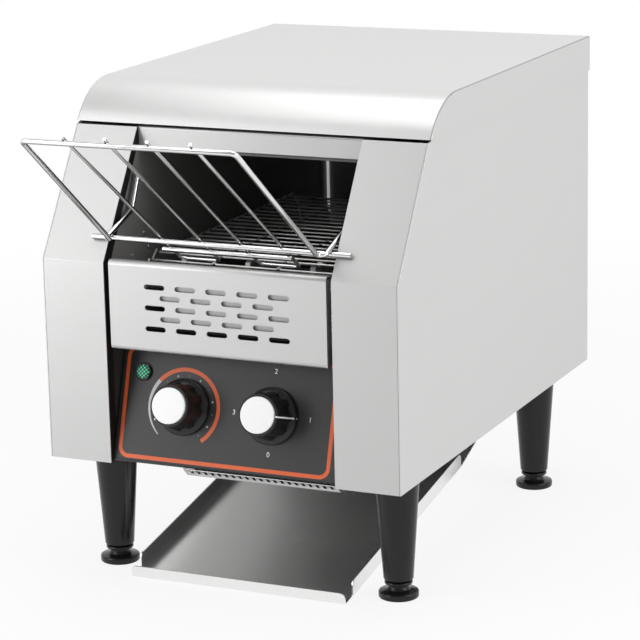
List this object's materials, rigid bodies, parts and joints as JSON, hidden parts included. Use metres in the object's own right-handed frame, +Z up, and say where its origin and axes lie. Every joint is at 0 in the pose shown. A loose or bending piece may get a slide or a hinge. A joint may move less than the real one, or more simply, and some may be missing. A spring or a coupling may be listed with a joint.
{
  "type": "conveyor toaster",
  "caption": "Counter-top conveyor toaster: wire loading rack above, wire belt through a heated chamber, control panel below and a sloping discharge tray between adjustable legs.",
  "frame": {"origin": "on the counter, under the middle of the toaster's bounding box", "axes": "+Z up, +Y from the front with the rack and controls towards the back, +X to the right seen from the front"},
  "size_m": [0.29, 0.5474, 0.3732],
  "materials": {
    "stainless": "satin",
    "chamber_steel": "heat-tinted satin",
    "panel_paint": "satin",
    "black_gloss": "gloss",
    "white_cap": "satin",
    "green_lens": "gloss",
    "rack_wire": "polished",
    "belt_wire": "heat-tinted",
    "machine_steel": "oiled",
    "bronze": "sintered",
    "motor_metal": "cast",
    "element_sheath": "oxidised",
    "ceramic": "glazed",
    "black_matte": "matte",
    "terminal_plastic": "matte"
  },
  "bodies": {
    "housing": {"top_cover": "stainless", "right_side_panel": "stainless", "left_side_panel": "stainless", "right_bezel": "stainless", "left_bezel": "stainless", "rear_panel": "stainless", "base_plate": "stainless", "mouth_header": "stainless", "front_grille": "stainless", "grille_brackets": "stainless", "vent_pan": "stainless", "tray_ledge": "stainless", "right_inner_wall": "chamber_steel", "left_inner_wall": "chamber_steel", "upper_reflector": "chamber_steel", "heat_shield": "chamber_steel", "chamber_back": "chamber_steel", "control_panel": "panel_paint", "pilot_lamp_holder": "black_gloss", "legs": "black_gloss", "pilot_lamp_lens": "green_lens", "conveyor_belt": "belt_wire", "drive_chain": "machine_steel", "motor_standoffs": "machine_steel", "limit_thermostat": "machine_steel", "shaft_bushings": "bronze", "gear_motor": "motor_metal", "upper_elements": "element_sheath", "lower_elements": "element_sheath", "element_terminals": "ceramic", "fan_frame": "black_matte", "cord_gland": "black_matte", "gland_nut": "black_matte", "selector_switch": "black_matte", "speed_control": "black_matte", "terminal_block": "terminal_plastic"},
    "selector": {"selector_knob": "black_gloss", "selector_knob_cap": "white_cap", "selector_spindle": "machine_steel"},
    "colour_control": {"colour_knob": "black_gloss", "colour_knob_cap": "white_cap", "colour_spindle": "machine_steel"},
    "rack": {"rack_frame": "rack_wire", "rack_bars": "rack_wire", "rack_wires": "rack_wire"},
    "tray": {"discharge_tray": "stainless"},
    "front_left_foot": {"foot_front_left": "black_gloss"},
    "front_right_foot": {"foot_front_right": "black_gloss"},
    "rear_left_foot": {"foot_rear_left": "black_gloss"},
    "rear_right_foot": {"foot_rear_right": "black_gloss"},
    "drive": {"drive_shaft": "machine_steel", "drive_sprockets": "machine_steel", "driven_chain_sprocket": "machine_steel"},
    "idler": {"idler_shaft": "machine_steel", "idler_sprockets": "machine_steel"},
    "motor": {"motor_shaft": "machine_steel", "motor_chain_sprocket": "machine_steel"},
    "fan": {"fan_rotor": "black_matte"}
  },
  "joints": [
    {"name": "selector_turn", "type": "hinge", "parent": "housing", "child": "selector", "pos_m": [0.035, -0.12985, 0.14139], "axis": [0, -0.9563, 0.2924], "range_deg": [0, 270]},
    {"name": "colour_turn", "type": "hinge", "parent": "housing", "child": "colour_control", "pos_m": [-0.0375, -0.12985, 0.14139], "axis": [0, -0.9563, 0.2924], "range_deg": [-280, 0]},
    {"name": "rack_tip", "type": "hinge", "parent": "housing", "child": "rack", "pos_m": [0, -0.09408, 0.3093], "axis": [-1, 0, 0], "range_deg": [0, 60]},
    {"name": "tray_slide", "type": "slide", "parent": "housing", "child": "tray", "axis": [0, -1, 0], "range_m": [0, 0.24]},
    {"name": "front_left_foot_screw", "type": "slide", "parent": "housing", "child": "front_left_foot", "axis": [0, 0, -1], "range_m": [0, 0.01]},
    {"name": "front_right_foot_screw", "type": "slide", "parent": "housing", "child": "front_right_foot", "axis": [0, 0, -1], "range_m": [0, 0.01]},
    {"name": "rear_left_foot_screw", "type": "slide", "parent": "housing", "child": "rear_left_foot", "axis": [0, 0, -1], "range_m": [0, 0.01]},
    {"name": "rear_right_foot_screw", "type": "slide", "parent": "housing", "child": "rear_right_foot", "axis": [0, 0, -1], "range_m": [0, 0.01]},
    {"name": "drive_turn", "type": "hinge", "parent": "housing", "child": "drive", "pos_m": [0, 0.1463, 0.22254], "axis": [1, 0, 0], "continuous": true, "deforming": ["conveyor_belt", "drive_chain"]},
    {"name": "idler_turn", "type": "hinge", "parent": "housing", "child": "idler", "pos_m": [0, -0.0823, 0.22254], "axis": [1, 0, 0], "continuous": true},
    {"name": "motor_turn", "type": "hinge", "parent": "housing", "child": "motor", "pos_m": [0, 0.08679, 0.14637], "axis": [1, 0, 0], "continuous": true},
    {"name": "fan_turn", "type": "hinge", "parent": "housing", "child": "fan", "pos_m": [0.02, 0.0237, 0.1068], "axis": [0, 0, 1], "continuous": true}
  ],
  "couplings": [
    {"joint": "idler_turn", "follows": "drive_turn", "ratio": 1},
    {"joint": "motor_turn", "follows": "drive_turn", "ratio": 2}
  ]
}
